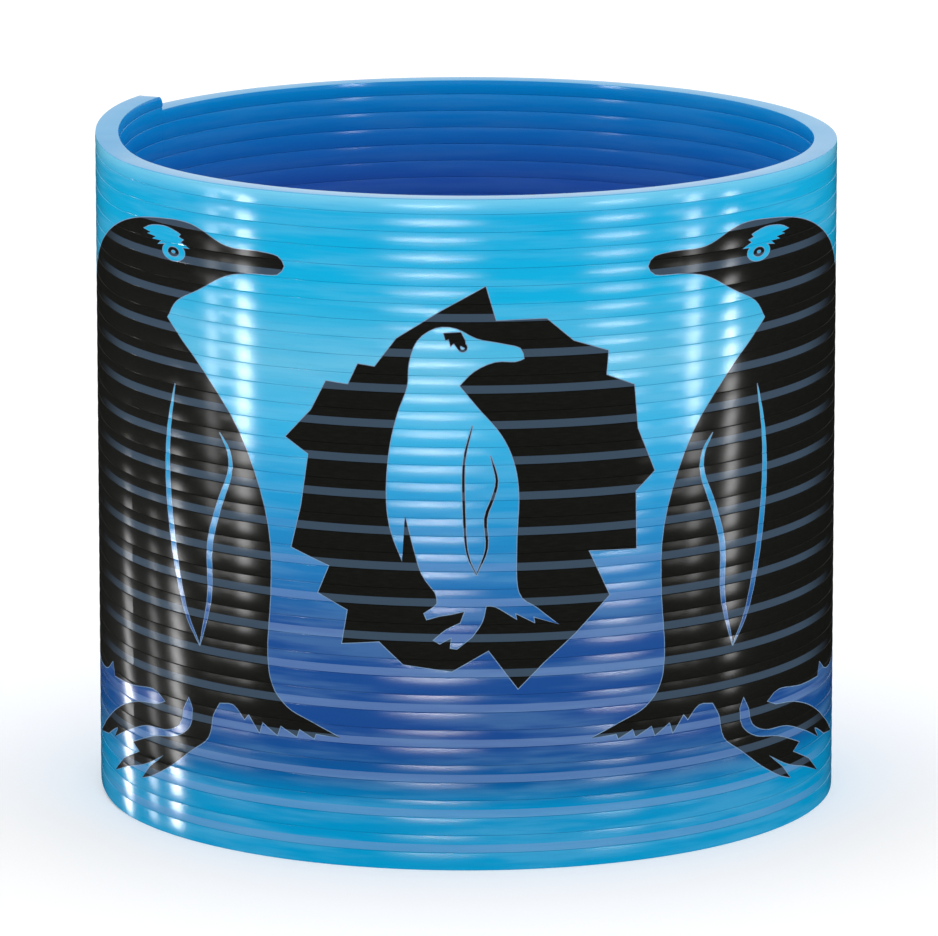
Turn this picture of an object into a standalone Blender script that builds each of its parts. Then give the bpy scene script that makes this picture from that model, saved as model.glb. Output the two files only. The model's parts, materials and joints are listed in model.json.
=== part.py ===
"""A spring coil toy: one flat plastic strip wound into a tall, closed, left-handed helix.

Units are metres and +Z is up. The coil stands on its lowest turn, centred on the Z axis, with the
middle of its printed face towards -Y. Each full turn of the strip is an object of its own, because
the turns are what move against each other.

Turns stack in short groups. In a group every turn slides along Z on the group's first turn, and each
group's first turn is hinged on the last turn of the group below, at the outer edge on the -X side.
"""

import math

import bpy

# Driving sizes
OUTER_DIAMETER = 0.075
STRIP_WIDTH = 0.0024        # radial width of the strip
TURN_PITCH = 0.00177        # height from one turn to the next, closed
TURN_GAP = 0.0003           # clearance between the faces of two closed turns
END_GAP = 0.0003            # clearance between the ends of two successive turns
GROUP_SIZES = (4, 3, 3, 3, 3, 3, 3, 3, 3, 3, 3, 4)   # turns in each group, from the bottom
END_ANGLE = 153.0           # where each turn starts and ends, degrees anticlockwise from +X
CLIMB_ARC = 54.0            # arc just before the end in which a closed turn climbs one pitch
STEP_ANGLE = 9.0            # arc of one straight facet
END_FACET = 0.5             # arc of the short facet at each end of a turn, which squares its end face

# Sizes worked out from them
OUTER_RADIUS = OUTER_DIAMETER / 2
MIDDLE_RADIUS = OUTER_RADIUS - STRIP_WIDTH / 2
STRIP_HEIGHT = TURN_PITCH - TURN_GAP
TURNS = sum(GROUP_SIZES)
STEPS = round(360.0 / STEP_ANGLE)
END_MARGIN = math.degrees(END_GAP / 2 / MIDDLE_RADIUS)

# Colours of the plastic from the bottom of the coil to its top, as (share of the height, linear RGB)
PLASTIC_SHADES = (
    (0.00, (0.00, 0.33, 0.64)),
    (0.14, (0.00, 0.20, 0.50)),
    (0.22, (0.03, 0.06, 0.36)),
    (0.32, (0.03, 0.07, 0.42)),
    (0.45, (0.02, 0.28, 0.68)),
    (0.70, (0.03, 0.36, 0.70)),
    (1.00, (0.01, 0.40, 0.72)),
)
ROUGHNESS = 0.28


def clear_scene():
    """Remove whatever the scene holds."""
    for old in list(bpy.data.objects):
        bpy.data.objects.remove(old, do_unlink=True)


def new_collection(name):
    """Make a collection in the scene."""
    collection = bpy.data.collections.new(name)
    bpy.context.scene.collection.children.link(collection)
    return collection


def shade_at(share):
    """The plastic's colour at a share of the coil's height."""
    for (low, below), (high, above) in zip(PLASTIC_SHADES, PLASTIC_SHADES[1:]):
        if share <= high:
            mix = (share - low) / (high - low)
            return tuple(a + (b - a) * mix for a, b in zip(below, above))
    return PLASTIC_SHADES[-1][1]


def plastic(name, share):
    """Glossy moulded plastic, tinted for its height on the coil."""
    material = bpy.data.materials.new(name)
    material.use_nodes = True
    shader = material.node_tree.nodes["Principled BSDF"]
    shader.inputs["Base Color"].default_value = (*shade_at(share), 1.0)
    shader.inputs["Roughness"].default_value = ROUGHNESS
    shader.inputs["Metallic"].default_value = 0.0
    material.diffuse_color = (*shade_at(share), 1.0)
    return material


def strip_section(collection):
    """The strip's upright rectangular section, the guide that every turn is swept from."""
    data = bpy.data.curves.new("strip_section", "CURVE")
    data.dimensions = "2D"
    spline = data.splines.new("POLY")
    corners = ((-1, -1), (-1, 1), (1, 1), (1, -1))
    spline.points.add(len(corners) - len(spline.points))
    for point, (across, up) in zip(spline.points, corners):
        point.co = (across * STRIP_WIDTH / 2, up * STRIP_HEIGHT / 2, 0.0, 1.0)
    spline.use_cyclic_u = True
    section = bpy.data.objects.new("strip_section", data)
    section.hide_render = True
    section.display_type = "WIRE"
    collection.objects.link(section)
    return section


def climb(turned):
    """The share of one pitch that a closed turn has climbed after an arc, in degrees."""
    share = (turned - (360.0 - CLIMB_ARC)) / CLIMB_ARC
    share = min(max(share, 0.0), 1.0)
    return share * share * (3.0 - 2.0 * share)


def turn_path(index):
    """Middle line of one turn, clockwise seen from above, as (x, y, z) points from its lower end."""
    base = index * TURN_PITCH + STRIP_HEIGHT / 2
    first, last = END_MARGIN, 360.0 - END_MARGIN
    arcs = [first, first + END_FACET]
    arcs += [step * STEP_ANGLE for step in range(1, STEPS)]
    arcs += [last - END_FACET, last]
    points = []
    for turned in arcs:
        angle = math.radians(END_ANGLE - turned)
        height = base + TURN_PITCH * climb(turned)
        points.append((MIDDLE_RADIUS * math.cos(angle), MIDDLE_RADIUS * math.sin(angle), height))
    return points


def strip_turn(index, section, collection):
    """One full turn of the strip, a swept curve with closed ends."""
    name = f"coil_turn_{index + 1:02d}"
    data = bpy.data.curves.new(name, "CURVE")
    data.dimensions = "3D"
    data.twist_mode = "Z_UP"
    data.bevel_mode = "OBJECT"
    data.bevel_object = section
    data.use_fill_caps = True
    path = turn_path(index)
    spline = data.splines.new("POLY")
    spline.points.add(len(path) - len(spline.points))
    for point, place in zip(spline.points, path):
        point.co = (*place, 1.0)
    turn = bpy.data.objects.new(name, data)
    turn.data.materials.append(plastic(f"plastic_{index + 1:02d}", (index + 0.5) / TURNS))
    collection.objects.link(turn)
    return turn


def place_origin(turn, place):
    """Put a turn's origin at a point, with its strip left where it is."""
    for point in turn.data.splines[0].points:
        point.co = (point.co[0] - place[0], point.co[1] - place[1], point.co[2] - place[2], 1.0)
    turn.location = place


def hinge_place(index):
    """A point on the hinge line under a group's first turn, at the outer edge on the -X side."""
    below_hinge = (180.0 + END_ANGLE) % 360.0
    height = (index - 1 + climb(below_hinge)) * TURN_PITCH + STRIP_HEIGHT + TURN_GAP / 2
    return (-OUTER_RADIUS, 0.0, height)


def build_coil():
    """Build every turn, and give each one an origin on its own joint's axis."""
    coil = new_collection("spring_coil_toy")
    guides = new_collection("guides")
    section = strip_section(guides)
    index = 0
    for size in GROUP_SIZES:
        for place_in_group in range(size):
            turn = strip_turn(index, section, coil)
            hinged = place_in_group == 0 and index > 0
            origin = hinge_place(index) if hinged else (0.0, 0.0, index * TURN_PITCH)
            place_origin(turn, origin)
            index += 1


clear_scene()
build_coil()
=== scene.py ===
"""Looks of a spring coil toy: one printed plastic strip wound into a closed coil.

Every turn of the strip is modelled as its own closed piece, with the picture cut into its outer face
as real faces, so that the picture is divided between the turns.
Lengths are metres, except in the artwork, which is laid out in millimetres on the unrolled wall:
s runs along the wall from the middle of the front, to the right, and z runs up from the table.
"""

import json
import logging
import math
from dataclasses import dataclass, field
from enum import Enum
from typing import Any, Callable, Iterable, Sequence

import bmesh
import bpy
import numpy as np
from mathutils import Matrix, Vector
from mathutils.geometry import delaunay_2d_cdt

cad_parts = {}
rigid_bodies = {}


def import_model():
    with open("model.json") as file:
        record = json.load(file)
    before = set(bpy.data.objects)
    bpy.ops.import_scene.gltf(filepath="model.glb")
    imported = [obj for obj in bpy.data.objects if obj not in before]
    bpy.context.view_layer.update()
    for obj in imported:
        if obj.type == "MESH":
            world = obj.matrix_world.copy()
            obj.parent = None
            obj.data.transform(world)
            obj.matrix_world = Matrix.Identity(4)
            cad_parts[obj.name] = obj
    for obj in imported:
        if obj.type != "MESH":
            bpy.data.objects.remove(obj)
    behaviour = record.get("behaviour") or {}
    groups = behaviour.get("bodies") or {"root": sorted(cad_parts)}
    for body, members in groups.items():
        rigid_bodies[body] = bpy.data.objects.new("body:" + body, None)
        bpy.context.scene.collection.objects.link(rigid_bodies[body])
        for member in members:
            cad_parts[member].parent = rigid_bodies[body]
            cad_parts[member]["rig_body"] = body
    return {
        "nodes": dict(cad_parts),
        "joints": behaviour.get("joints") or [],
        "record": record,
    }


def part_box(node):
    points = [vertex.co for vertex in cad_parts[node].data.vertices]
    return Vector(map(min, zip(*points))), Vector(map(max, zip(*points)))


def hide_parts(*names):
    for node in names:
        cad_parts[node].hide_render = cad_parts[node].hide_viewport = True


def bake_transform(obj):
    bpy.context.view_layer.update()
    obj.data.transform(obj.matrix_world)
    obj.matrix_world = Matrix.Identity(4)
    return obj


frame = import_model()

LOG = logging.getLogger("spring_coil_toy")
MM = 0.001
END_ANGLE = 153.0               # where each turn starts and ends, in degrees anticlockwise from +X
FRONT_ARC = END_ANGLE + 90.0    # arc from a turn's lower end to the middle of the front, in degrees
PAINTED_SHEEN_RANGE = (0.18, 0.48)       # how squarely the painted sheen band faces the front where it starts and fully shows
SMOOTH_ANGLE = 10.0             # faces that meet at less than this are shaded as one, in degrees
MERGE_DISTANCE = 1e-6           # points of a piece that are closer than this are one point
CUT_TOLERANCE = 1e-5            # cuts in a sheet that are closer than this meet, in millimetres
SHORTEST_LEG = 1e-9             # least length that a leg of an outline counts for, in millimetres
SHORTEST_STRETCH = 1e-6         # least share of a segment that is worth a cut
LEVEL_STEP = 1e-12              # a segment that climbs less than this runs level, in millimetres
MITRE_LIMIT = 0.45              # keeps a widened outline's sharp corners short
BLUNT_TIP = 0.02                # how far a brush line's tips are from a point, in radians

Point = tuple[float, float]
Range = tuple[float, float]
Colour = tuple[float, float, float]
Weight = Callable[[np.ndarray], np.ndarray]


class Side(Enum):
    """Which way a printed bird faces."""

    RIGHT = 1.0
    LEFT = -1.0


class Finish(Enum):
    """The finishes of the strip, each a material slot of every turn."""

    WALL = 0
    BAND = 1
    INK = 2
    INK_BAND = 3
    EDGE = 4
    INSIDE = 5
    RIM = 6


def linear(red: float, green: float, blue: float) -> Colour:
    """Turn a colour given in 8-bit display values into scene-linear values."""
    shares = (channel / 255.0 for channel in (red, green, blue))
    return tuple(c / 12.92 if c <= 0.04045 else ((c + 0.055) / 1.055) ** 2.4 for c in shares)


def deselect_all() -> None:
    """Leave edit mode and clear the selection."""
    if bpy.context.object is not None and bpy.context.object.mode != "OBJECT":
        bpy.ops.object.mode_set(mode="OBJECT")
    bpy.ops.object.select_all(action="DESELECT")


def pick(obj: bpy.types.Object) -> None:
    """Make one object the only selected one, and the active one."""
    deselect_all()
    obj.select_set(True)
    bpy.context.view_layer.objects.active = obj


def flat_sheet(name: str, width: float, depth: float) -> bpy.types.Object:
    """Model a flat rectangular sheet, centred on the origin.

    Args:
        name: its name.
        width: its size along X.
        depth: its size along Y.

    Returns:
        The sheet, selected and in object mode.
    """
    deselect_all()
    bpy.ops.mesh.primitive_plane_add(size=1.0, location=(0.0, 0.0, 0.0))
    made = bpy.context.object
    made.name = name
    bpy.ops.object.mode_set(mode="EDIT")
    bpy.ops.mesh.select_all(action="SELECT")
    bpy.ops.transform.resize(value=(width, depth, 1.0))
    bpy.ops.object.mode_set(mode="OBJECT")
    return made


# ---- shading


class Wire:
    """A node socket on which arithmetic adds Math nodes."""

    def __init__(self, shader: "Shader", socket: Any) -> None:
        """Hold the socket and the shader that it belongs to."""
        self.shader = shader
        self.socket = socket

    def _math(self, operation: str, first: Any, second: Any = None) -> "Wire":
        """Add one Math node and return its result."""
        values = [first] if second is None else [first, second]
        return self.shader.node("ShaderNodeMath", {"operation": operation}, values)

    def __add__(self, other: Any) -> "Wire":
        """Add."""
        return self._math("ADD", self, other)

    def __sub__(self, other: Any) -> "Wire":
        """Subtract."""
        return self._math("SUBTRACT", self, other)

    def __rsub__(self, other: Any) -> "Wire":
        """Subtract, reflected."""
        return self._math("SUBTRACT", other, self)

    def __mul__(self, other: Any) -> "Wire":
        """Multiply."""
        return self._math("MULTIPLY", self, other)

    def cosine(self) -> "Wire":
        """Cosine of an angle in radians."""
        return self._math("COSINE", self)

    def sine(self) -> "Wire":
        """Sine of an angle in radians."""
        return self._math("SINE", self)

    def size(self) -> "Wire":
        """The value without its sign."""
        return self._math("ABSOLUTE", self)

    def between(self, low: float, high: float) -> "Wire":
        """Ease from 0 at low to 1 at high."""
        values = {"Value": self, "From Min": low, "From Max": high}
        return self.shader.node("ShaderNodeMapRange", {"interpolation_type": "SMOOTHSTEP"}, values)


class Shader:
    """A Principled material under construction."""

    def __init__(self, name: str, constants: dict[str, float]) -> None:
        """Make the material.

        Args:
            name: the material's name.
            constants: values that are the same all over the surface, by socket name.
        """
        self.material = bpy.data.materials.new(name)
        self.material.use_nodes = True
        self.tree = self.material.node_tree
        self.surface = self.tree.nodes["Principled BSDF"]
        for socket, value in constants.items():
            self.surface.inputs[socket].default_value = value

    def node(self, kind: str, settings: dict[str, Any], values: Any, output: int | str = 0) -> Wire:
        """Add any node.

        Args:
            kind: the node's type.
            settings: its properties, and its ramp stops under "stops".
            values: its inputs, a list in order or a dict by socket name; a Wire is linked.
            output: which of its outputs to return.

        Returns:
            The output, wrapped.
        """
        made = self.tree.nodes.new(kind)
        for name, value in settings.items():
            if name == "stops":
                self._set_stops(made.color_ramp, value)
            else:
                setattr(made, name, value)
        pairs = values.items() if isinstance(values, dict) else enumerate(values)
        for key, value in pairs:
            if isinstance(value, Wire):
                self.tree.links.new(value.socket, made.inputs[key])
            else:
                made.inputs[key].default_value = value
        return Wire(self, made.outputs[output])

    @staticmethod
    def _set_stops(ramp: Any, stops: Sequence[tuple[float, Colour]]) -> None:
        """Fill a colour ramp.

        Args:
            ramp: the ramp.
            stops: its stops, as (place, colour).
        """
        while len(ramp.elements) < len(stops):
            ramp.elements.new(1.0)
        for element, (place, colour) in zip(ramp.elements, stops):
            element.position = place
            element.color = (*colour, 1.0)

    def mix(self, share: Any, below: Any, above: Any) -> Wire:
        """Mix two colours.

        Args:
            share: 0 for the first colour, 1 for the second.
            below: the first colour, a Wire or a Colour.
            above: the second colour.

        Returns:
            The mixed colour.
        """
        sides = [side if isinstance(side, Wire) else (*side, 1.0) for side in (below, above)]
        # On this node, colours go in at 6 and 7 and come out at 2.
        return self.node("ShaderNodeMix", {"data_type": "RGBA"}, {0: share, 6: sides[0], 7: sides[1]}, 2)

    def places(self, uv_map: str) -> tuple[Wire, Wire]:
        """The two coordinates of one of the surface's UV maps."""
        both = self.node("ShaderNodeUVMap", {"uv_map": uv_map}, {})
        split = self.node("ShaderNodeSeparateXYZ", {}, [both]).socket.node
        return Wire(self, split.outputs[0]), Wire(self, split.outputs[1])

    def feed(self, socket: str, value: Wire) -> None:
        """Link a value to one of the surface's own sockets."""
        self.tree.links.new(value.socket, self.surface.inputs[socket])


@dataclass(frozen=True)
class Moulding:
    """How the moulded strip's surface varies, read from the strip's own coordinates.

    The strip's UV map holds the share of a turn (u) and the share of the coil's height (v), both at
    rest, so that the pattern stays on the strip however far the coil is stretched or bent.
    """

    detail: float = 3.0
    detail_roughness: float = 0.55

    @staticmethod
    def facing(share: Wire) -> Wire:
        """How squarely the wall faces the front or the back: 1 in the middle of either, 0 at the sides."""
        return (share * math.tau - math.radians(FRONT_ARC)).cosine().size()

    def streaks(self, share: Wire, height: Wire, length: float, fine: float) -> Wire:
        """Cloudy streaks drawn out along the strip.

        Args:
            share: share of a turn.
            height: share of the coil's height.
            length: how often the pattern changes round the coil.
            fine: how often it changes over the coil's height.

        Returns:
            A value round 0.5.
        """
        angle = share * math.tau
        ring = {"X": angle.cosine() * length, "Y": angle.sine() * length, "Z": height * fine}
        where = share.shader.node("ShaderNodeCombineXYZ", {}, ring)
        values = {"Vector": where, "Scale": 1.0, "Detail": self.detail, "Roughness": self.detail_roughness}
        return share.shader.node("ShaderNodeTexNoise", {}, values)


@dataclass(frozen=True)
class TintedPlastic:
    """Moulded plastic whose tint runs from cyan through blue to cyan over the coil's height."""

    name: str
    stops: tuple[tuple[float, Colour], ...]
    gloss: float = 0.12
    roughness: float = 0.09
    roughness_spread: float = 0.08
    flow_length: float = 2.2
    flow_height: float = 46.0
    grain_length: float = 6.0
    grain_height: float = 260.0
    cloud: float = 0.10
    cloud_range: Range = (0.42, 0.68)
    cloud_colour: Colour = linear(165, 220, 242)
    fleck_share: float = 0.8
    fleck_range: Range = (0.5, 0.72)
    # painted sheen: how strongly a pale band is painted on, where it fades out up the coil, and its colour
    fleck_colour: Colour = linear(12, 70, 150)
    painted_sheen: float = 0.0
    painted_sheen_top: Range = (0.40, 0.58)
    painted_sheen_colour: Colour = linear(120, 150, 195)
    bump_strength: float = 0.10
    bump_depth: float = 0.00002
    moulding: Moulding = Moulding()

    def material(self) -> bpy.types.Material:
        """Build the material."""
        shader = Shader(self.name, {"Specular IOR Level": self.gloss})
        share, height = shader.places("strip")
        tint = shader.node("ShaderNodeValToRGB", {"stops": self.stops}, [height])
        flow = self.moulding.streaks(share, height, self.flow_length, self.flow_height)
        grain = self.moulding.streaks(share, height, self.grain_length, self.grain_height)
        milky = flow.between(*self.cloud_range) * self.cloud
        flecks = grain.between(*self.fleck_range) * (self.cloud * self.fleck_share)
        colour = shader.mix(milky, tint, self.cloud_colour)
        colour = shader.mix(flecks, colour, self.fleck_colour)
        # painted sheen: a pale band, strongest where the wall faces front or back, fading towards the sides
        # and above mid-height as a reflection would
        if self.painted_sheen > 0.0:
            seen = self.moulding.facing(share).between(*PAINTED_SHEEN_RANGE)
            lower = 1.0 - height.between(*self.painted_sheen_top)
            colour = shader.mix(seen * lower * self.painted_sheen, colour, self.painted_sheen_colour)
        shader.feed("Base Color", colour)
        shader.feed("Roughness", grain * self.roughness_spread + self.roughness)
        relief = {"Strength": self.bump_strength, "Distance": self.bump_depth, "Height": grain}
        shader.feed("Normal", shader.node("ShaderNodeBump", {}, relief))
        return shader.material


@dataclass(frozen=True)
class PrintingInk:
    """A dense film of printing ink, with the faint unevenness of a rolled print."""

    name: str
    colour: Colour
    # the ink's colour where the painted sheen lies over it, or None for no sheen
    ink_under_painted_sheen: Colour | None = None
    gloss: float = 0.004
    roughness: float = 0.40
    roughness_spread: float = 0.12
    varnish: float = 0.10
    varnish_roughness: float = 0.13
    varnish_edge: Range = (0.86, 0.90)
    roll_length: float = 40.0
    roll_height: float = 420.0
    thin_brightness: float = 1.35
    thin_range: Range = (0.35, 0.75)
    moulding: Moulding = Moulding()

    def material(self) -> bpy.types.Material:
        """Build the material."""
        constants = {"Specular IOR Level": self.gloss, "Coat Roughness": self.varnish_roughness}
        shader = Shader(self.name, constants)
        share, height = shader.places("strip")
        grain = self.moulding.streaks(share, height, self.roll_length, self.roll_height)
        facing = self.moulding.facing(share)
        shader.feed("Coat Weight", (1.0 - facing.between(*self.varnish_edge)) * self.varnish)
        thin = tuple(channel * self.thin_brightness for channel in self.colour)
        colour = shader.mix(grain.between(*self.thin_range), self.colour, thin)
        # painted sheen over the ink, fading towards the sides as a reflection would
        if self.ink_under_painted_sheen is not None:
            colour = shader.mix(facing.between(*PAINTED_SHEEN_RANGE), colour, self.ink_under_painted_sheen)
        shader.feed("Base Color", colour)
        shader.feed("Roughness", grain * self.roughness_spread + self.roughness)
        return shader.material


@dataclass(frozen=True)
class Paper:
    """Matt card: the white sweep that the coil stands on, or the black flag under it."""

    name: str = "white_sweep"
    colour: Colour = (0.97, 0.97, 0.97)
    lift: float = 0.10
    roughness: float = 0.9
    fibre_scale: float = 900.0
    fibre_shade: float = 0.985

    def material(self) -> bpy.types.Material:
        """Build the material."""
        constants = {"Specular IOR Level": 0.0, "Roughness": self.roughness, "Emission Strength": self.lift}
        shader = Shader(self.name, constants)
        shader.surface.inputs["Emission Color"].default_value = (1.0, 1.0, 1.0, 1.0)
        where = shader.node("ShaderNodeTexCoord", {}, {}, "Object")
        values = {"Vector": where, "Scale": self.fibre_scale, "Detail": 2.0}
        fibre = shader.node("ShaderNodeTexNoise", {}, values)
        darker = tuple(channel * self.fibre_shade for channel in self.colour)
        shader.feed("Base Color", shader.mix(fibre, self.colour, darker))
        return shader.material


@dataclass(frozen=True)
class Glow:
    """Light of a softbox whose brightness fades towards its edges."""

    name: str
    strength: float
    fade_across: float = 0.5
    fade_along: float = 0.35

    def material(self) -> bpy.types.Material:
        """Build the material."""
        shader = Shader(self.name, {"Emission Strength": self.strength, "Specular IOR Level": 0.0})
        shader.surface.inputs["Base Color"].default_value = (0.0, 0.0, 0.0, 1.0)
        across, along = (0.5 - (place - 0.5).size() for place in shader.places("UVMap"))
        fade = across.between(0.0, self.fade_across) * along.between(0.0, self.fade_along)
        shader.feed("Emission Color", shader.mix(fade, (0.0, 0.0, 0.0), (1.0, 1.0, 1.0)))
        return shader.material


# ---- artwork


def smooth_run(points: Sequence[Point], step: float = 0.8) -> list[Point]:
    """Points along a smooth curve through the given ones.

    Args:
        points: the points that the curve passes through, in millimetres.
        step: greatest distance between two points of the result.

    Returns:
        The curve's points without the last one.
    """
    if len(points) == 2:
        return [points[0]]
    knots = [np.array(p, float) for p in points]
    knots = [2 * knots[0] - knots[1], *knots, 2 * knots[-1] - knots[-2]]
    found: list[Point] = []
    for a, b, c, d in zip(knots, knots[1:], knots[2:], knots[3:]):
        parts = max(1, math.ceil(float(np.linalg.norm(c - b)) / step))
        for t in (k / parts for k in range(parts)):
            square, cube = 2 * a - 5 * b + 4 * c - d, 3 * b - a - 3 * c + d
            bend = 2 * b + (c - a) * t + square * t**2 + cube * t**3
            found.append((float(bend[0]) / 2, float(bend[1]) / 2))
    return found


def closed_line(*runs: Sequence[Point]) -> np.ndarray:
    """A closed outline of smooth runs that meet at corners.

    Args:
        runs: the points of each run; it goes on to the first point of the next one.

    Returns:
        The outline's points.
    """
    line: list[Point] = []
    for run, following in zip(runs, [*runs[1:], runs[0]]):
        line += smooth_run([*run, following[0]])
    return np.array(line)


def polygon(points: Sequence[Point]) -> np.ndarray:
    """A closed outline with a corner at every point."""
    return closed_line(*[[point] for point in points])


def disc(centre: Point, radius: float, stretch: float = 1.0, sides: int = 20) -> np.ndarray:
    """A round outline, or an oval one that is stretched along the wall."""
    angles = np.arange(sides) * math.tau / sides
    return np.array(centre) + radius * np.column_stack([stretch * np.cos(angles), np.sin(angles)])


def brush_line(points: Sequence[Point], width: float) -> np.ndarray:
    """A thin outline along a curve, tapering to both ends.

    Args:
        points: the curve's points.
        width: full width in the middle.

    Returns:
        The closed outline.
    """
    line = np.array([*smooth_run(points), points[-1]])
    ahead = np.gradient(line, axis=0)
    across = np.column_stack([-ahead[:, 1], ahead[:, 0]]) / np.linalg.norm(ahead, axis=1)[:, None]
    taper = np.sin(np.linspace(BLUNT_TIP, math.pi - BLUNT_TIP, len(line)))
    half = width / 2 * np.sqrt(taper)[:, None]
    return np.vstack([line + across * half, (line - across * half)[::-1]])


def turned(line: np.ndarray, anticlockwise: bool) -> np.ndarray:
    """The outline running the wanted way round.

    Args:
        line: the outline.
        anticlockwise: which way it is to run.

    Returns:
        The outline, reversed where needed.
    """
    x, z = line[:, 0], line[:, 1]
    area = float(np.sum(x * np.roll(z, -1) - np.roll(x, -1) * z))
    return line if (area > 0) == anticlockwise else line[::-1]


def widened(line: np.ndarray, by: float) -> np.ndarray:
    """The outline moved outwards from the ink on its left-hand side.

    Args:
        line: the outline.
        by: how far it moves.

    Returns:
        The moved outline, with as many points.
    """
    before, after = np.roll(line, 1, axis=0), np.roll(line, -1, axis=0)
    first, second = line - before, after - line
    normals = []
    for leg in (first, second):
        length = np.maximum(np.linalg.norm(leg, axis=1), SHORTEST_LEG)[:, None]
        normals.append(np.column_stack([leg[:, 1], -leg[:, 0]]) / length)
    middle = normals[0] + normals[1]
    reach = np.maximum(np.sum(middle * normals[0], axis=1), MITRE_LIMIT)[:, None]
    return line + middle / reach * by


@dataclass
class Artwork:
    """The printed picture: two large birds, and between them a torn hole with a small bird in it.

    An outline of ink runs anticlockwise, and a gap in the ink runs clockwise.
    """

    edge_width: float = 0.075
    back_middle: float = 117.8
    ink: list[np.ndarray] = field(default_factory=list)
    edge: list[np.ndarray] = field(default_factory=list)

    def add(self, line: np.ndarray, inked: bool, side: Side = Side.RIGHT, shift: float = 0.0) -> None:
        """Add one outline.

        Args:
            line: its points.
            inked: True for ink, False for a gap in the ink.
            side: LEFT mirrors it about the middle of the front.
            shift: how far it is moved along the wall.
        """
        placed = turned(line * (side.value, 1.0) + (shift, 0.0), inked)
        self.ink.append(placed)
        self.edge.append(widened(placed, self.edge_width))

    def large_bird(self, side: Side) -> None:
        """A tall standing bird in black that looks towards the middle, with pale lines for its wing.

        Args:
            side: which way it faces.
        """
        body = closed_line(
            [(-18.5, 59.6), (-19.2, 60.5), (-21.6, 60.8), (-25.4, 60.9), (-30.2, 62.5), (-35.5, 62.4),
             (-41.0, 61.5), (-46.5, 59.6), (-52.0, 56.6), (-57.0, 52.0), (-61.5, 45.0), (-64.0, 36.0),
             (-64.4, 26.0), (-62.0, 19.0)],
            [(-59.0, 15.2), (-54.6, 13.9), (-50.0, 13.8)], [(-47.2, 15.1)],
            [(-46.6, 13.7), (-41.5, 13.9), (-37.0, 14.4)], [(-34.8, 13.5)],
            [(-36.4, 12.9), (-40.2, 12.4), (-44.6, 11.0), (-49.2, 8.8)], [(-53.8, 6.4)],
            [(-49.4, 7.1), (-45.8, 8.5)], [(-46.9, 7.3)],
            [(-43.2, 8.8), (-38.6, 10.3), (-34.6, 10.7), (-32.4, 11.7), (-31.8, 13.4)], [(-31.0, 14.7)],
            [(-30.4, 13.6), (-30.8, 11.7), (-33.0, 10.3), (-37.0, 9.5)], [(-41.4, 8.0)], [(-40.0, 7.3)],
            [(-44.0, 5.7)], [(-46.7, 3.9)], [(-42.8, 5.2), (-38.8, 6.3)], [(-35.2, 7.9)], [(-37.8, 6.2)],
            [(-39.5, 4.7), (-36.9, 5.6), (-33.8, 7.2), (-30.8, 9.2), (-28.2, 11.0), (-27.5, 13.4)],
            [(-26.6, 14.8), (-24.8, 14.9)], [(-23.4, 13.6)], [(-22.9, 14.2)], [(-21.6, 12.5)],
            [(-21.2, 13.6)], [(-19.5, 12.5)], [(-19.1, 13.5)], [(-17.3, 12.6)], [(-17.0, 13.4)],
            [(-15.4, 12.6)], [(-15.2, 13.1)],
            [(-12.5, 12.9), (-15.8, 14.3), (-18.4, 15.5), (-20.1, 17.6), (-20.6, 21.0), (-20.2, 27.0),
             (-20.3, 32.4), (-21.6, 37.6), (-24.3, 43.2), (-28.5, 48.0), (-32.0, 51.0)],
            [(-34.0, 52.7), (-32.4, 54.6), (-29.2, 56.1), (-25.6, 57.9), (-22.6, 58.5), (-19.3, 58.7)],
        )
        brow = closed_line(
            [(-38.3, 61.0), (-36.6, 61.6), (-34.0, 61.8), (-31.7, 61.3)], [(-32.0, 61.0)], [(-31.2, 60.8)],
            [(-31.7, 60.5)], [(-30.4, 60.0)], [(-32.4, 59.9), (-33.8, 60.0)], [(-35.6, 59.8)],
            [(-35.0, 60.2)], [(-36.6, 60.2)], [(-35.9, 60.5)], [(-37.5, 60.6)], [(-36.8, 60.8)],
        )
        near_wing = [(-32.8, 46.2), (-33.9, 41.0), (-34.0, 35.5), (-33.0, 29.0), (-31.4, 23.6),
                     (-29.3, 20.2)]
        far_wing = [(-26.4, 42.2), (-25.2, 40.4), (-25.1, 38.2), (-26.6, 34.6), (-27.8, 30.6), (-27.9, 25.4),
                    (-29.3, 20.2)]
        self.add(body, True, side)
        self.add(brow, False, side)
        self.add(brush_line(near_wing, 0.85), False, side)
        self.add(brush_line(far_wing, 0.80), False, side)
        for radius, inked in ((0.98, False), (0.46, True), (0.18, False)):
            self.add(disc((-32.9, 59.4), radius, 1.9), inked, side)

    def torn_hole(self, shift: float) -> None:
        """A jagged patch of ink, as if the wall were torn open.

        Args:
            shift: how far along the wall it is.
        """
        corners = [
            (1.9, 58.4), (2.9, 55.0), (7.9, 55.1), (10.6, 52.8), (14.2, 51.6), (14.0, 49.2), (17.0, 48.0),
            (17.4, 43.6), (19.3, 39.2), (17.2, 37.4), (17.3, 31.6), (12.2, 31.8), (14.4, 27.2), (10.8, 23.6),
            (7.6, 20.8), (5.1, 18.3), (2.2, 22.2), (-1.4, 20.1), (-6.2, 20.7), (-8.6, 22.9), (-12.4, 22.5),
            (-11.8, 25.9), (-14.9, 27.4), (-13.7, 30.2), (-17.8, 31.7), (-16.7, 36.0), (-15.9, 41.2),
            (-18.4, 42.7), (-15.6, 45.6), (-14.0, 48.6), (-11.7, 48.4), (-10.7, 50.5), (-9.0, 50.3),
            (-6.8, 53.2), (-2.4, 56.0),
        ]
        self.add(polygon(corners), True, shift=shift)

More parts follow.
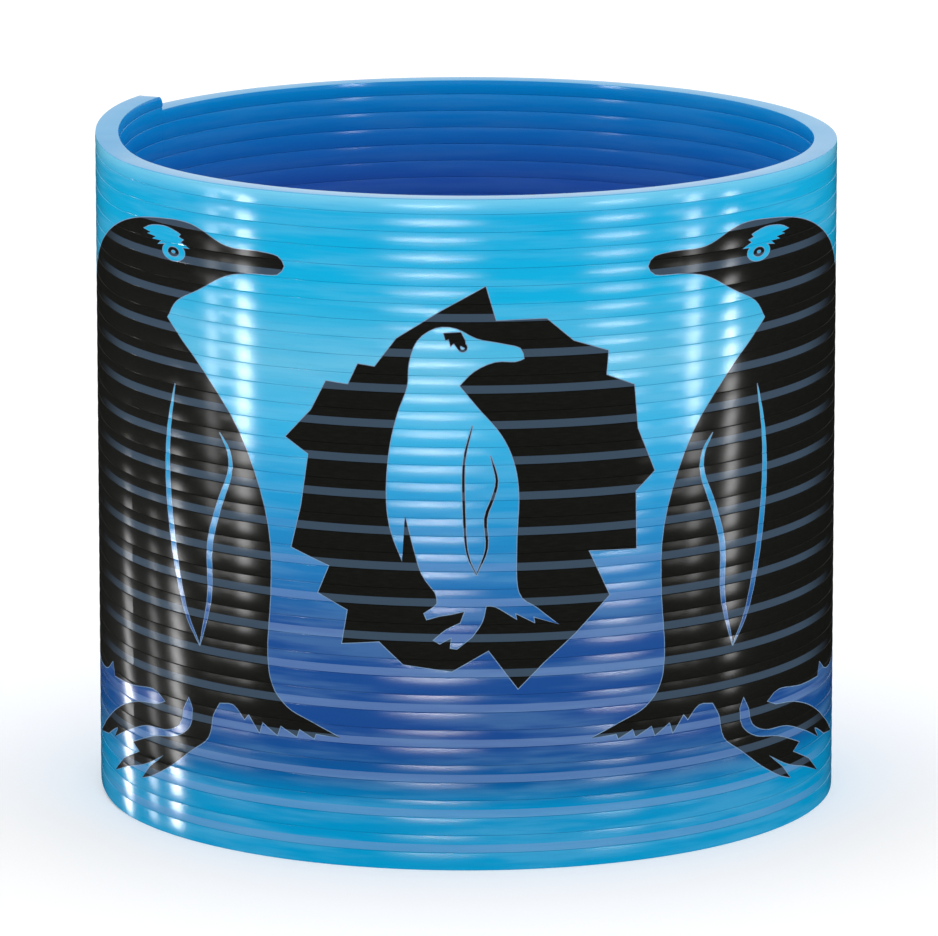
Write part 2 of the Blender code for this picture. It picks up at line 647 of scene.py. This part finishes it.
    def small_bird(self, shift: float) -> None:
        """A small standing bird, left clear in the torn hole.

        Args:
            shift: how far along the wall it is.
        """
        body = closed_line(
            [(5.7, 51.2), (5.3, 52.3), (3.4, 52.8), (1.0, 53.3), (-1.0, 54.3), (-3.0, 54.3), (-4.8, 53.0),
             (-5.6, 50.8), (-5.8, 48.4), (-6.8, 45.6), (-7.6, 42.0), (-7.9, 37.6), (-7.5, 34.2)],
            [(-6.3, 31.0)], [(-6.0, 35.6), (-5.2, 32.4), (-4.4, 29.8)],
            [(-3.1, 28.0), (-2.9, 26.9)], [(-4.2, 25.9)], [(-3.9, 25.2)], [(-2.6, 25.6)], [(-1.4, 25.8)],
            [(-0.2, 26.1)], [(-0.6, 25.0), (-2.0, 24.3)], [(-3.3, 23.2)], [(-2.6, 22.8)], [(-1.5, 23.4)],
            [(-1.6, 22.4)], [(-0.9, 22.3)], [(0.6, 23.5), (1.6, 25.0)], [(2.0, 26.6), (2.9, 26.5)],
            [(5.0, 25.2)], [(4.9, 25.8)], [(6.8, 24.8)], [(6.7, 25.4)],
            [(9.2, 24.6), (7.0, 26.4), (5.2, 28.0), (5.0, 32.6), (5.2, 37.6), (4.7, 41.0), (3.4, 43.8),
             (1.2, 46.4)],
            [(-0.6, 48.6), (0.8, 50.0), (2.8, 50.9), (4.8, 50.9)],
        )
        brow = polygon(
            [(-2.2, 53.8), (-0.5, 53.9), (-0.1, 53.1), (0.0, 52.3), (-0.6, 52.6), (-0.7, 52.1), (-1.2, 52.8),
             (-1.5, 52.5), (-1.7, 53.2), (-2.0, 53.1)]
        )
        near_wing = [(0.6, 44.6), (-0.2, 41.0), (-0.2, 36.0), (0.1, 32.0), (1.0, 29.8)]
        far_wing = [(2.4, 41.6), (3.0, 39.2), (2.6, 37.4), (1.9, 35.4), (2.0, 32.4), (1.0, 29.8)]
        eye = (-0.35, 52.4)
        parts = [(body, False), (brow, True), (disc(eye, 0.46), True), (disc(eye, 0.24), False),
                 (brush_line(near_wing, 0.24), True), (brush_line(far_wing, 0.28), True)]
        for line, inked in parts:
            self.add(line, inked, shift=shift)

    def draw(self) -> None:
        """Draw the whole picture: the front, and the torn hole once more on the back."""
        for side in Side:
            self.large_bird(side)
        for shift in (0.0, self.back_middle):
            self.torn_hole(shift)
            self.small_bird(shift)


# ---- strip


@dataclass
class CoilFrame:
    """The coil's own measures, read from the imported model."""

    end_angle: float = END_ANGLE
    climb_arc: float = 54.0
    names: list[str] = field(init=False)
    slots: dict[str, str] = field(init=False)
    groups: list[list[int]] = field(init=False, default_factory=list)

    def __post_init__(self) -> None:
        """Read the turns, their sizes and how they hang together."""
        self.names = sorted(frame["nodes"])
        self.slots = {part["node"]: part["material_slot"] for part in frame["record"]["subparts"]}
        low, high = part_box(self.names[0])
        above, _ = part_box(self.names[1])
        self.outer_radius = (high.x - low.x) / 2
        self.pitch = above.z - low.z
        last_low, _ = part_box(self.names[-1])
        self.bare_height = high.z - low.z - self.pitch
        self.height = last_low.z + self.bare_height
        hinged = {joint["child"] for joint in frame["joints"] if joint["type"] == "hinge"}
        for index in range(len(self.names)):
            if index == 0 or self.body(index) in hinged:
                self.groups.append([])
            self.groups[-1].append(index)

    def body(self, index: int) -> str:
        """The body that a turn's node rides on."""
        return frame["nodes"][self.names[index]]["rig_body"]

    def is_last(self, index: int) -> bool:
        """Whether a turn is the top one, whose upper end is free."""
        return index == len(self.names) - 1

    def lift(self, turned_by: np.ndarray) -> np.ndarray:
        """Height that the closed strip has climbed after an arc, in degrees from the turn's lower end."""
        share = np.clip((turned_by - (360.0 - self.climb_arc)) / self.climb_arc, 0.0, 1.0)
        return self.pitch * share * share * (3.0 - 2.0 * share)


@dataclass
class StripSection:
    """The strip's cross-section, an upright rounded bar with a slightly crowned outer face."""

    width: float = 0.0024
    gap: float = 0.00001
    corner: float = 0.00005
    crown: float = 0.000022
    inner_crown: float = 0.00008
    corner_steps: int = 4
    face_cuts: int = 5

    def model(self, pitch: float) -> np.ndarray:
        """Model the section flat and return its outline.

        Args:
            pitch: height from one turn to the next.

        Returns:
            Rows of (reach outwards from the outer face, height above the strip's lower face), in
            order round the section from the middle of the inner face, downwards.
        """
        height = pitch - self.gap
        plate = flat_sheet("strip_section", self.width, height)
        bpy.ops.object.mode_set(mode="EDIT")
        bpy.ops.transform.translate(value=(-self.width / 2, height / 2, 0.0))
        bpy.ops.mesh.bevel(offset=self.corner, segments=self.corner_steps, affect="VERTICES")
        for wanted in (0.0, -self.width):
            bpy.ops.mesh.select_all(action="DESELECT")
            shape = bmesh.from_edit_mesh(plate.data)
            for edge in shape.edges:
                edge.select_set(all(abs(vert.co.x - wanted) < MERGE_DISTANCE for vert in edge.verts))
            bmesh.update_edit_mesh(plate.data)
            bpy.ops.mesh.subdivide(number_cuts=self.face_cuts)
        bpy.ops.object.mode_set(mode="OBJECT")
        outline = self._walk(plate.data)
        bpy.data.objects.remove(plate, do_unlink=True)
        lean = (2.0 * outline[:, 1] / height - 1.0) ** 2
        across = np.clip(-outline[:, 0] / self.width, 0.0, 1.0)
        outline[:, 0] += lean * (self.inner_crown * across - self.crown * (1.0 - across))
        return outline

    @staticmethod
    def _walk(mesh: bpy.types.Mesh) -> np.ndarray:
        """The outline of a flat mesh in order, from the middle of its inner edge.

        Args:
            mesh: the flat mesh.

        Returns:
            The X and Y of each point, first downwards.
        """
        shape = bmesh.new()
        shape.from_mesh(mesh)
        rim = [edge for edge in shape.edges if len(edge.link_faces) == 1]
        middle = sum(v.co.y for v in shape.verts) / len(shape.verts)
        inner = min(shape.verts, key=lambda v: (round(v.co.x, 6), abs(v.co.y - middle)))
        loop, used, vert = [inner], set(), inner
        while True:
            choices = [e for e in rim if vert in e.verts and e not in used]
            edge = choices[0] if used else min(choices, key=lambda e: e.other_vert(vert).co.y)
            used.add(edge)
            vert = edge.other_vert(vert)
            if vert is inner:
                break
            loop.append(vert)
        points = np.array([(v.co.x, v.co.y) for v in loop])
        shape.free()
        return points


def winding(points: np.ndarray, lines: Iterable[np.ndarray]) -> np.ndarray:
    """How many times the outlines run round each point.

    Args:
        points: rows of two coordinates.
        lines: closed outlines.

    Returns:
        One whole number a point, positive inside anticlockwise outlines.
    """
    count = np.zeros(len(points), int)
    for line in lines:
        low, high = line.min(axis=0), line.max(axis=0)
        near = np.flatnonzero(((points >= low) & (points <= high)).all(axis=1))
        if not len(near):
            continue
        x, y = points[near, 0][:, None], points[near, 1][:, None]
        a, b = line, np.roll(line, -1, axis=0)
        side = (b[:, 0] - a[:, 0]) * (y - a[:, 1]) - (x - a[:, 0]) * (b[:, 1] - a[:, 1])
        up = (a[:, 1] <= y) & (b[:, 1] > y) & (side > 0)
        down = (a[:, 1] > y) & (b[:, 1] <= y) & (side < 0)
        count[near] += up.sum(axis=1) - down.sum(axis=1)
    return count


@dataclass
class Window:
    """The part of a turn's unrolled sheet that takes print, in millimetres."""

    low: Point
    high: Point

    def clip(self, start: np.ndarray, end: np.ndarray) -> tuple[np.ndarray, np.ndarray] | None:
        """The stretch of a segment inside the window.

        Args:
            start: the segment's first point.
            end: its last point.

        Returns:
            The stretch's two ends, or None where the segment stays outside.
        """
        first, last = 0.0, 1.0
        step = end - start
        for axis in (0, 1):
            if abs(step[axis]) < LEVEL_STEP:
                if not self.low[axis] <= start[axis] <= self.high[axis]:
                    return None
                continue
            enter = (self.low[axis] - start[axis]) / step[axis]
            leave = (self.high[axis] - start[axis]) / step[axis]
            enter, leave = min(enter, leave), max(enter, leave)
            first, last = max(first, enter), min(last, leave)
        if last - first < SHORTEST_STRETCH:
            return None
        return start + step * first, start + step * last


@dataclass
class PrintedCoil:
    """The wound strip, turn by turn, with the picture cut into its outer face."""

    coil: CoilFrame
    section: StripSection
    art: Artwork
    column_angle: float = 2.25
    end_margin: float = 0.01
    print_wrap: float = 0.00030
    # lower and upper edge of the painted sheen band on every second turn
    band_low: float = 0.00004
    band_high: float = 0.00084
    top_end_height: float = 0.00115
    top_taper: float = 40.0
    end_round: float = 0.0007
    end_columns: tuple[float, ...] = (1.0, 0.7, 0.45, 0.25, 0.12, 0.04)
    inside_reach: float = 0.72
    palette: list[bpy.types.Material] = field(default_factory=list)
    pieces: list[bpy.types.Object] = field(init=False, default_factory=list)

    def __post_init__(self) -> None:
        """Model the section and measure along its outline."""
        outline = self.section.model(self.coil.pitch)
        outline = np.vstack([outline, outline[:1]])
        legs = np.linalg.norm(np.diff(outline, axis=0), axis=1)
        run = np.concatenate([[0.0], np.cumsum(legs)])
        tall = outline[:, 1].max()
        outer = np.flatnonzero(outline[:, 0] > -self.section.corner / 2)
        middle = outer[np.argmin(np.abs(outline[outer, 1] - tall / 2))]
        self.run = (run - run[middle]) / MM
        self.outline = outline
        self.tall = tall
        self.turn_length = math.tau * self.coil.outer_radius / MM
        self.face_half = tall / 2 / MM + self.print_wrap / MM

    def _columns(self, first: float, last: float, free_end: bool) -> np.ndarray:
        """The arc angles at which the section is repeated.

        Args:
            first: arc angle where the piece starts.
            last: arc angle where it ends.
            free_end: True to have them closer together at the rounded end.

        Returns:
            The angles in degrees, rising.
        """
        count = round((last - first) / self.column_angle)
        angles = np.linspace(first, last, count + 1)
        if free_end:
            radius = math.degrees(self.end_round / self.coil.outer_radius)
            angles = np.sort(np.append(angles, last - radius * np.array(self.end_columns)))
        return np.clip(angles, self.end_margin, 360.0 - self.end_margin)

    def _height_share(self, index: int, angle: np.ndarray) -> np.ndarray:
        """Share of the full strip height: the top turn is lower, and its end is rounded.

        Args:
            index: the turn, counted from the bottom.
            angle: arc angles.

        Returns:
            One share an angle.
        """
        if not self.coil.is_last(index):
            return np.ones_like(angle)
        bare = self.coil.bare_height
        t = np.clip((angle - (360.0 - self.top_taper)) / self.top_taper, 0.0, 1.0)
        height = bare + (self.top_end_height - bare) * t * t * (3.0 - 2.0 * t)
        left = np.radians(360.0 - angle) * self.coil.outer_radius
        inside = np.clip(1.0 - left / self.end_round, 0.0, 1.0)
        drop = self.end_round * (1.0 - np.sqrt(np.clip(1.0 - inside**2, 0.0, 1.0)))
        return (height - drop) / self.tall

    def _sheet_lines(self, lines: Sequence[np.ndarray], index: int) -> list[np.ndarray]:
        """Lay outlines on the unrolled sheet of one turn.

        Args:
            lines: outlines on the wall.
            index: the turn, counted from the bottom.

        Returns:
            Those that reach the turn, as (distance along the turn, height on its face).
        """
        base = (index * self.coil.pitch + self.tall / 2) / MM
        found = []
        for line in lines:
            turned_by = FRONT_ARC - np.degrees(line[:, 0] * MM / self.coil.outer_radius)
            along = turned_by / 360.0 * self.turn_length
            lift = self.coil.lift(turned_by) / MM
            face = line[:, 1] - base - lift
            if face.min() < self.face_half and face.max() > -self.face_half:
                found.append(np.column_stack([along, face])[::-1])
        return found

    def _sheet(self, index: int, first: float, last: float) -> tuple[np.ndarray, np.ndarray, np.ndarray]:
        """Triangulate one turn's unrolled sheet.

        Args:
            index: the turn, counted from the bottom.
            first: arc angle where the piece starts.
            last: arc angle where it ends.

        Returns:
            The sheet's points, its triangles and each triangle's finish.
        """
        columns = self._columns(first, last, self.coil.is_last(index)) / 360.0 * self.turn_length
        rows = self.run
        grid = [(float(x), float(y)) for y in rows for x in columns]
        wide = len(columns)
        edges = [(r * wide + c, r * wide + c + 1) for r in range(len(rows)) for c in range(wide - 1)]
        edges += [(r * wide + c, (r + 1) * wide + c) for r in range(len(rows) - 1) for c in (0, wide - 1)]
        ink = self._sheet_lines(self.art.ink, index)
        rim = self._sheet_lines(self.art.edge, index)
        window = Window((columns[0], -self.face_half), (columns[-1], self.face_half))
        # every second turn gets a band whose faces carry the painted sheen
        bands = (self.band_low, self.band_high) if index % 2 else ()
        levels = [(level - self.tall / 2) / MM for level in bands]
        for level in [-self.face_half, self.face_half, *levels]:
            start = len(grid)
            grid += [(float(x), level) for x in columns]
            edges += [(start + c, start + c + 1) for c in range(wide - 1)]
        for line in [*ink, *rim]:
            for a, b in zip(line, np.roll(line, -1, axis=0)):
                cut = window.clip(a, b)
                if cut is not None:
                    start = len(grid)
                    grid += [tuple(map(float, cut[0])), tuple(map(float, cut[1]))]
                    edges.append((start, start + 1))
        points, _, faces, *_ = delaunay_2d_cdt([Vector(p) for p in grid], edges, [], 0, CUT_TOLERANCE)
        points = np.array([tuple(p) for p in points])
        faces = np.array([tuple(f) for f in faces])
        centres = points[faces].mean(axis=1)
        return points, faces, self._finishes(index, centres, ink, rim, levels)

    def _finishes(
        self,
        index: int,
        centres: np.ndarray,
        ink: list[np.ndarray],
        rim: list[np.ndarray],
        levels: list[float],
    ) -> np.ndarray:
        """The finish of each triangle, by its middle on the sheet.

        Args:
            index: the turn, counted from the bottom.
            centres: the triangles' middles.
            ink: outlines of the ink on this turn.
            rim: the same outlines, widened by the pale edge line.
            levels: lower and upper edge of the turn's painted sheen band, or nothing.

        Returns:
            One value of Finish a triangle.
        """
        face = np.abs(centres[:, 1]) < self.face_half
        inked = face & (winding(centres, ink) > 0)
        lined = face & ~inked & (winding(centres, rim) > 0)
        band = np.zeros(len(centres), bool)
        if levels:
            band = (centres[:, 1] > levels[0]) & (centres[:, 1] < levels[1])
        reach = np.interp(centres[:, 1], self.run, self.outline[:, 0])
        finish = np.where(band, Finish.BAND.value, Finish.WALL.value)
        finish[inked] = np.where(band, Finish.INK_BAND.value, Finish.INK.value)[inked]
        finish[lined] = Finish.EDGE.value
        finish[reach < -self.section.width * self.inside_reach] = Finish.INSIDE.value
        if self.coil.is_last(index):
            top = np.interp(centres[:, 1], self.run, self.outline[:, 1]) > self.tall - self.section.corner
            finish[top & ~inked] = Finish.RIM.value
        return finish

    def _wind(self, index: int, points: np.ndarray) -> tuple[np.ndarray, np.ndarray, np.ndarray]:
        """Wind a sheet's points round the coil.

        Args:
            index: the turn, counted from the bottom.
            points: the points on the sheet.

        Returns:
            Their places, their arc angles and their heights at rest.
        """
        angle = points[:, 0] / self.turn_length * 360.0
        reach = np.interp(points[:, 1], self.run, self.outline[:, 0])
        rise = np.interp(points[:, 1], self.run, self.outline[:, 1]) * self._height_share(index, angle)
        height = index * self.coil.pitch + self.coil.lift(angle) + rise
        radius = self.coil.outer_radius + reach
        turned_to = np.radians(self.coil.end_angle - angle)
        places = np.column_stack([radius * np.cos(turned_to), radius * np.sin(turned_to), height])
        return places, angle, height

    def piece(self, name: str, index: int, first: float, last: float) -> bpy.types.Object:
        """Make one closed piece of the strip.

        Args:
            name: the piece's name.
            index: the turn that it belongs to.
            first: arc angle where it starts, in degrees from the turn's lower end.
            last: arc angle where it ends.

        Returns:
            The finished piece, with its arc angles in a point attribute named "arc".
        """
        points, faces, finish = self._sheet(index, first, last)
        places, angle, height = self._wind(index, points)
        shape = bmesh.new()
        arc = shape.verts.layers.float.new("arc")
        uv = shape.loops.layers.uv.new("strip")
        verts = [shape.verts.new(place) for place in places]
        on_strip = {}
        for vert, turned_by, level in zip(verts, angle, height):
            vert[arc] = turned_by
            on_strip[vert] = (turned_by / 360.0, level / self.coil.height)
        for (a, b, c), kind in zip(faces.tolist(), finish.tolist()):
            face = shape.faces.new((verts[a], verts[b], verts[c]))
            face.material_index = kind
            for loop in face.loops:
                loop[uv].uv = on_strip[loop.vert]
        bmesh.ops.remove_doubles(shape, verts=shape.verts, dist=MERGE_DISTANCE)
        open_edges = [edge for edge in shape.edges if edge.is_boundary]
        caps = bmesh.ops.holes_fill(shape, edges=open_edges, sides=0)["faces"]
        for cap in caps:
            cap.material_index = Finish.WALL.value
            for loop in cap.loops:
                loop[uv].uv = (loop.vert[arc] / 360.0, loop.vert.co.z / self.coil.height)
        bmesh.ops.recalc_face_normals(shape, faces=shape.faces)
        mesh = bpy.data.meshes.new(name)
        shape.to_mesh(mesh)
        shape.free()
        for material in self.palette:
            mesh.materials.append(material)
        made = bpy.data.objects.new(name, mesh)
        bpy.context.scene.collection.objects.link(made)
        pick(made)
        bpy.ops.object.shade_smooth_by_angle(angle=math.radians(SMOOTH_ANGLE))
        self.pieces.append(made)
        LOG.info("%s: %d faces", made.name, len(made.data.polygons))
        return made

    def follow(self, piece: bpy.types.Object, weight: Weight) -> None:
        """Bake a piece's place into its points and work out a share for each point that grows along the
        strip; nothing uses the share.

        Args:
            piece: the piece.
            weight: the share, worked out from the arc angles.
        """
        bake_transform(piece)
        angles = np.zeros(len(piece.data.vertices), np.float32)
        piece.data.attributes["arc"].data.foreach_get("value", angles)
        shares = np.clip(weight(angles.astype(float)), 0.0, 1.0)

    def build_group(self, turns: list[int], following: list[int]) -> None:
        """Build one group of turns, and the arc that climbs between it and the group above.

        Args:
            turns: the group's turns, counted from the bottom of the coil.
            following: the turns of the group above, or nothing.
        """
        root = self.coil.body(turns[0])
        for place, index in enumerate(turns):
            carries = bool(following) and index == turns[-1]
            last = 360.0 - self.coil.climb_arc if carries else 360.0
            made = self.piece(f"printed_turn_{index + 1:02d}", index, 0.0, last)
            body = self.coil.body(turns[1] if place == 0 else index)
            parts = 2 if place == 0 else place + 1
            self.follow(made, lambda arc, p=place, n=parts, end=last: (p + arc / end) / n)
            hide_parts(self.coil.names[index])
            if carries:
                arc_piece = self.piece(f"fold_arc_{index + 1:02d}", index, last, 360.0)
                above = self.coil.body(following[0])
                self.follow(arc_piece, lambda arc, start=last: (arc - start) / (360.0 - start))

    def build(self) -> None:
        """Build the whole coil, group by group from the table up."""
        for turns, following in zip(self.coil.groups, [*self.coil.groups[1:], []]):
            self.build_group(turns, following)


def strip_palette() -> list[bpy.types.Material]:
    """The strip's finishes, in the order of Finish."""
    # the wall's tint runs over the coil's height; its last stop, pale at the very top, is a painted
    # highlight along the top rim's front edge
    wall = (
        (0.00, linear(0, 152, 200)), (0.09, linear(0, 138, 190)), (0.13, linear(8, 88, 150)),
        (0.19, linear(24, 70, 139)), (0.36, linear(30, 76, 144)), (0.43, linear(34, 113, 176)),
        (0.55, linear(30, 148, 203)), (0.66, linear(54, 172, 218)), (0.75, linear(84, 180, 217)),
        (0.85, linear(14, 168, 214)), (0.974, linear(14, 166, 214)), (1.00, linear(112, 198, 230)),
    )
    # the inside is partly painted shade: the plastic's own blue, made darker deep down where the inner wall
    # lies in shade and lighter towards the rim
    inside = (
        (0.00, linear(44, 96, 186)), (0.84, linear(44, 96, 186)), (0.92, linear(22, 122, 205)),
        (0.97, linear(10, 140, 216)), (1.00, linear(10, 150, 222)),
    )
    rim = ((0.00, linear(30, 150, 205)), (1.00, linear(30, 150, 205)))
    black = linear(20, 20, 18)
    finishes = {
        Finish.WALL: TintedPlastic("tinted_plastic", wall),
        # painted sheen: a pale band on every second turn, over the plastic and over the ink
        Finish.BAND: TintedPlastic("painted_sheen_plastic", wall, painted_sheen=0.42),
        Finish.INK: PrintingInk("black_ink", black),
        Finish.INK_BAND: PrintingInk("painted_sheen_ink", black, ink_under_painted_sheen=linear(58, 74, 90)),
        Finish.EDGE: PrintingInk("pale_edge_line", linear(112, 138, 165)),
        Finish.INSIDE: TintedPlastic("inside_plastic_painted_shade", inside, cloud=0.04),
        Finish.RIM: TintedPlastic("rim_plastic", rim, cloud=0.12),
    }
    return [finishes[kind].material() for kind in Finish]


# ---- studio


@dataclass(frozen=True)
class Softbox:
    """A soft light, placed by where on the coil its reflection is seen from the front.

    The surface angle is that of the reflection's place, in degrees to the right of the middle of
    the front. The box is as far from that place as its distance says, and reaches from its low
    height to its high one.
    """

    name: str
    surface_angle: float
    width: float
    low: float
    high: float
    distance: float
    strength: float
    radius: float = 0.0375
    view_distance: float = 0.82

    def build(self) -> None:
        """Build the box as a plain glowing sheet that faces the coil."""
        box = flat_sheet(self.name, self.width, self.high - self.low)
        turned_by = math.radians(self.surface_angle)
        spot = Vector((math.sin(turned_by), -math.cos(turned_by), 0.0)) * self.radius
        sideways = math.atan2(-spot.x, self.view_distance + spot.y)
        around = 2.0 * turned_by - sideways
        away = Vector((math.sin(around), -math.cos(around), 0.0)) * self.distance
        box.location = spot + away + Vector((0.0, 0.0, (self.low + self.high) / 2))
        box.rotation_euler = (-away).to_track_quat("Z", "Y").to_euler()
        box.data.materials.append(Glow(f"{self.name}_glow", self.strength).material())
        box.visible_camera = False
        box.visible_diffuse = False
        box.visible_shadow = False


@dataclass
class Studio:
    """Plain white studio: sweep, even light, soft highlights and the camera."""

    floor_size: float = 12.0
    flag_size: float = 60.0
    flag_depth: float = 0.8
    sky: float = 1.10
    lens: float = 315.3
    sensor_width: float = 36.0
    clip: Range = (0.01, 50.0)
    distance: float = 0.838
    elevation: float = 11.84
    aim: tuple[float, float, float] = (0.00028, 0.0, 0.0326)
    boxes: tuple[Softbox, ...] = (
        Softbox("wide_box_left", -5.0, 2.10, -0.51, -0.39, 3.0, 115.0),
        Softbox("wide_box_right", 23.0, 1.50, -0.51, -0.39, 3.0, 90.0),
        Softbox("side_box_left", -39.0, 1.50, -0.52, -0.39, 3.0, 36.0),
        Softbox("side_box_right", 35.0, 1.20, -0.52, -0.39, 3.0, 30.0),
        Softbox("inner_box_left", -26.0, 0.16, 0.10, 0.24, 0.60, 45.0),
        Softbox("inner_box_right", 20.0, 0.16, 0.10, 0.24, 0.60, 45.0),
        Softbox("strip_light_left_a", -41.8, 0.036, -0.034, 0.024, 0.25, 28.0),
        Softbox("strip_light_left_b", -35.5, 0.040, -0.034, 0.028, 0.25, 90.0),
        Softbox("strip_light_right_a", 36.5, 0.038, -0.028, 0.028, 0.25, 50.0),
        Softbox("strip_light_right_b", 44.1, 0.036, -0.040, 0.020, 0.25, 75.0),
        Softbox("low_light_left_a", -64.9, 0.034, -0.076, -0.014, 0.25, 30.0),
        Softbox("low_light_left_b", -56.4, 0.028, -0.072, -0.016, 0.25, 22.0),
        Softbox("low_light_left_c", -50.2, 0.034, -0.072, -0.010, 0.25, 80.0),
    )

    def build_floor(self) -> None:
        """Lay the white sweep."""
        floor = flat_sheet("studio_floor", self.floor_size, self.floor_size)
        floor.data.materials.append(Paper().material())
        floor.visible_glossy = False
        floor.visible_shadow = False

    def build_flag(self) -> None:
        """Lay a black flag under the sweep, which keeps the upright faces' reflections dark."""
        flag = flat_sheet("studio_flag", self.flag_size, self.flag_size)
        flag.location.z = -self.flag_depth
        flag.data.materials.append(Paper("black_flag", (0.01, 0.01, 0.01), 0.0).material())
        flag.visible_camera = False
        flag.visible_diffuse = False

    def build_sky(self) -> None:
        """Light the scene evenly from all round."""
        world = bpy.data.worlds.new("white_room")
        world.use_nodes = True
        background = world.node_tree.nodes["Background"]
        background.inputs["Color"].default_value = (1.0, 1.0, 1.0, 1.0)
        background.inputs["Strength"].default_value = self.sky
        bpy.context.scene.world = world

    def build_camera(self) -> None:
        """Place the camera in front of the coil, looking slightly down."""
        data = bpy.data.cameras.new("camera")
        data.lens = self.lens
        data.sensor_width = self.sensor_width
        data.clip_start, data.clip_end = self.clip
        camera = bpy.data.objects.new("camera", data)
        tilt = math.radians(self.elevation)
        back = Vector((0.0, -math.cos(tilt), math.sin(tilt)))
        camera.location = Vector(self.aim) + back * self.distance
        camera.rotation_mode = "QUATERNION"
        camera.rotation_quaternion = (-back).to_track_quat("-Z", "Y")
        bpy.context.scene.collection.objects.link(camera)
        bpy.context.scene.camera = camera

    def build(self) -> None:
        """Build the whole studio."""
        self.build_floor()
        self.build_flag()
        self.build_sky()
        for box in self.boxes:
            box.build()
        self.build_camera()
        bpy.context.scene.view_settings.view_transform = "Standard"
        LOG.info("studio ready")


def main() -> None:
    """Build the printed coil and the studio."""
    logging.basicConfig(level=logging.INFO, format="%(message)s")
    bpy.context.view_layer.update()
    art = Artwork()
    art.draw()
    coil = PrintedCoil(CoilFrame(), StripSection(), art, palette=strip_palette())
    coil.build()
    Studio().build()
    bpy.context.view_layer.update()
    LOG.info("%d pieces", len(coil.pieces))


if __name__ == "__main__":
    main()
